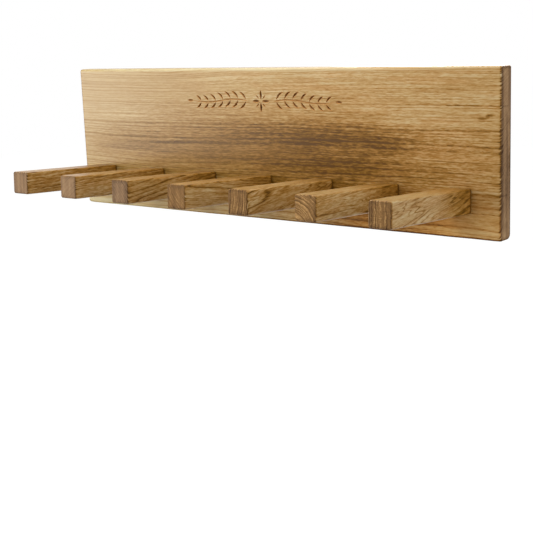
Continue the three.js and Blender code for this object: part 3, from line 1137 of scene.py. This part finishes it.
def recess_wedge(head, crossways):
    rings = []
    for up, *shares in RECESS_ENDS:
        if crossways:
            shares.reverse()
        half_x, half_z = (share * head / 2 for share in shares)
        y = up * RECESS_DEPTH * head
        rings.append([(side_x * half_x, y, side_z * half_z) for side_x, side_z in QUARTERS])
    return skinned("cut_cross", rings)


def screw_mesh(name, length, size):
    """A screw along -Y, with its head's flat top at the origin."""
    edge, shaft = size.head * HEAD_EDGE_SHARE, length - size.neck
    outline = (
        (size.head / 2 - edge / 2, 0.0), (size.head / 2, edge / 2), (size.head / 2, edge),
        (size.core / 2, edge + (size.head - size.core) / 2), (size.core / 2, size.neck),
    )
    rings = [ring_round(0, [0])]
    rings += [ring_round(-depth, [radius] * SCREW_SIDES) for radius, depth in outline]
    rows = round(shaft / size.pitch * ROWS_A_TURN)
    for row in range(1, rows):
        below = shaft * row / rows
        taper = min(1.0, (shaft - below) / size.point)
        height = min(1.0, below / size.pitch) * (size.thread - size.core) / 2
        radii = []
        for side in range(SCREW_SIDES):
            phase = (below / size.pitch - side / SCREW_SIDES) % 1.0
            swell = max(0.0, 1 - abs(phase - 0.5) / THREAD_HALF_SHARE)
            radii.append(taper * (size.core / 2 + height * swell))
        rings.append(ring_round(-size.neck - below, radii))
    screw = skinned(name, rings + [ring_round(-length, [0])])
    cut_away(screw, [recess_wedge(size.head, crossways) for crossways in (False, True)])
    smooth_over(screw)
    return screw


print("a screw's sides:", SCREW_SIDES, "rows to a turn:", ROWS_A_TURN)

# %% [markdown]
# Eighteen screws come out of two boxes, so only two meshes are made, and each screw shares the mesh of
# its kind. That keeps the file small. The two patterns go at the end.

# %% Set the screws
patterns = {}
for name in screw_names:
    kind, place, length = screw_of(name)
    if kind not in patterns:
        patterns[kind] = screw_mesh(f"{kind}_screw", length, SCREW_SIZES[kind])
        patterns[kind].data.materials.clear()
        patterns[kind].data.materials.append(yellow_zinc)
    screw = bpy.data.objects.new(f"{name}_fine", patterns[kind].data)
    scene.collection.objects.link(screw)
    screw.location = place
    even_light(screw)
    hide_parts(name)
    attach(screw, "root")
print("screws:", len(screw_names), "faces:", [len(p.data.polygons) for p in patterns.values()])
for pattern in patterns.values():
    bpy.data.objects.remove(pattern)

# %% [markdown]
# A keyhole plate is stamped from sheet steel. It is cut from a round-ended blank: one cut for the
# slot, one for the round entry below it and two for its screws. Stamping leaves every edge rounded
# alike, so here a bevel is right.

# %% Keyhole plates
STAMPED_EDGE = 0.2 * MM
STAMPED_FROM = radians(50)
ENTRY_STRETCH = 0.01 * MM

for name, at in plates.items():
    plate = round_ended(f"{name}_fine", at.x, at.low_z, at.high_z, at.radius, at.back, at.front)
    through = OVERRUN, at.front - OVERRUN
    slot = at.entry_z, at.entry_z + KEY_RISE, KEY_SLOT / 2
    entry = at.entry_z - ENTRY_STRETCH, at.entry_z, KEY_ENTRY / 2
    cutters = [round_ended("cut_key", at.x, *sizes, *through) for sizes in (slot, entry)]
    side = name.rsplit("_", 1)[1]
    cutters += [screw_hole(f"plate_screw_{side}_{end}") for end in ("top", "bottom")]
    cut_away(plate, cutters)
    rounded = plate.modifiers.new("stamped_edge", "BEVEL")
    rounded.width = STAMPED_EDGE
    rounded.segments = 2
    rounded.limit_method = "ANGLE"
    rounded.angle_limit = STAMPED_FROM
    apply_modifiers(plate)
    plate.data.materials.clear()
    plate.data.materials.append(zinc)
    smooth_over(plate)
    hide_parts(name)
    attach(plate, "root")
    print(name, "faces:", len(plate.data.polygons))

# %% [markdown]
# The light is that of a bright room. A plain white world would wash the wood out from all sides. So it
# shows pure white to the camera and in reflections, and lights the wood only moderately, most from the
# upper left.

# %% The bright room
LIGHT_FROM = Vector((-0.35, -0.6, 0.7)).normalized()
ROOM_LOW, ROOM_HIGH = 0.06, 0.34
WHITE = (1, 1, 1, 1)


def seen_directly(tree):
    """1 for what the camera sees, straight or in a reflection, and 0 for light on surfaces."""
    path = tree.nodes.new("ShaderNodeLightPath").outputs
    seen = calc(tree, "MAXIMUM", path["Is Camera Ray"], path["Is Glossy Ray"])
    return calc(tree, "MAXIMUM", seen, path["Is Transmission Ray"])


world = bpy.data.worlds.new("bright_room")
scene.world = world
world.use_nodes = True
sky = world.node_tree
sky.nodes.clear()
way = sky.nodes.new("ShaderNodeTexCoord").outputs["Generated"]
towards = shift(sky, "DOT_PRODUCT", way, tuple(LIGHT_FROM))
room_light = soft_step(sky, towards, -1.0, 1.0, ROOM_LOW, ROOM_HIGH)
strength = calc(sky, "MAXIMUM", seen_directly(sky), room_light)
background = add_node(sky, "Background", {"Color": WHITE, "Strength": strength})
show_surface(sky, background, "ShaderNodeOutputWorld")
print("the room lights the wood from", ROOM_LOW, "to", ROOM_HIGH)

# %% [markdown]
# Four large soft lamps shape the rack, like big windows. The left one stands low, so that its gleam
# glances off the board's far end. The right one lights the near end, one above draws the pegs' tops,
# and one behind lights the back.

# %% Lamps
# Each lamp's name, place, aim, size in metres and power in watts.
LAMPS = (
    ("left_lamp", (-1.75, -1.2, 0.18), (-0.2, 0, 0), 0.80, 32),
    ("top_lamp", (-0.1, -0.35, 0.75), (0, -0.05, 0), 0.8, 6.3),
    ("right_lamp", (1.6, -0.35, 0.5), (0.1, 0, 0), 1.0, 12.5),
    ("back_lamp", (-0.6, 2.2, 0.9), (0, 0, 0), 1.6, 34),
)

for name, place, aim, size, power in LAMPS:
    data = bpy.data.lights.new(name, "AREA")
    data.shape = "SQUARE"
    data.size = size
    data.energy = power
    lamp = bpy.data.objects.new(name, data)
    scene.collection.objects.link(lamp)
    lamp.location = place
    lamp.rotation_euler = (Vector(aim) - Vector(place)).to_track_quat("-Z", "Y").to_euler()
print("lamps:", len(LAMPS))

# %% [markdown]
# The floor lies far below, since the rack hangs on a wall. A matt floor alone would look grey, and a
# glowing one would show no shadow. So the camera sees mostly glow, and a share of matt grey takes the
# rack's soft shadow.

# %% The floor
FLOOR_Z, FLOOR_HALF_SIZE = -1.0, 8.0
FLOOR_GLOW = 1.30
MATT_SHARE, MATT_GREY = 0.25, (0.5, 0.5, 0.5, 1)

floor_shape = bmesh.new()
bmesh.ops.create_grid(floor_shape, x_segments=1, y_segments=1, size=FLOOR_HALF_SIZE)
floor = finish_mesh("floor", floor_shape)
floor.location.z = FLOOR_Z
floor_finish, floor_tree = new_finish("floor_white")
matt = add_node(floor_tree, "BsdfDiffuse", {"Color": MATT_GREY})
glow = add_node(floor_tree, "Emission", {"Color": WHITE, "Strength": FLOOR_GLOW})
share = times(floor_tree, seen_directly(floor_tree), 1 - MATT_SHARE)
shaders = {0: share, 1: matt.outputs[0], 2: glow.outputs[0]}
show_surface(floor_tree, add_node(floor_tree, "MixShader", shaders))
floor.data.materials.append(floor_finish)
print("floor at", FLOOR_Z)
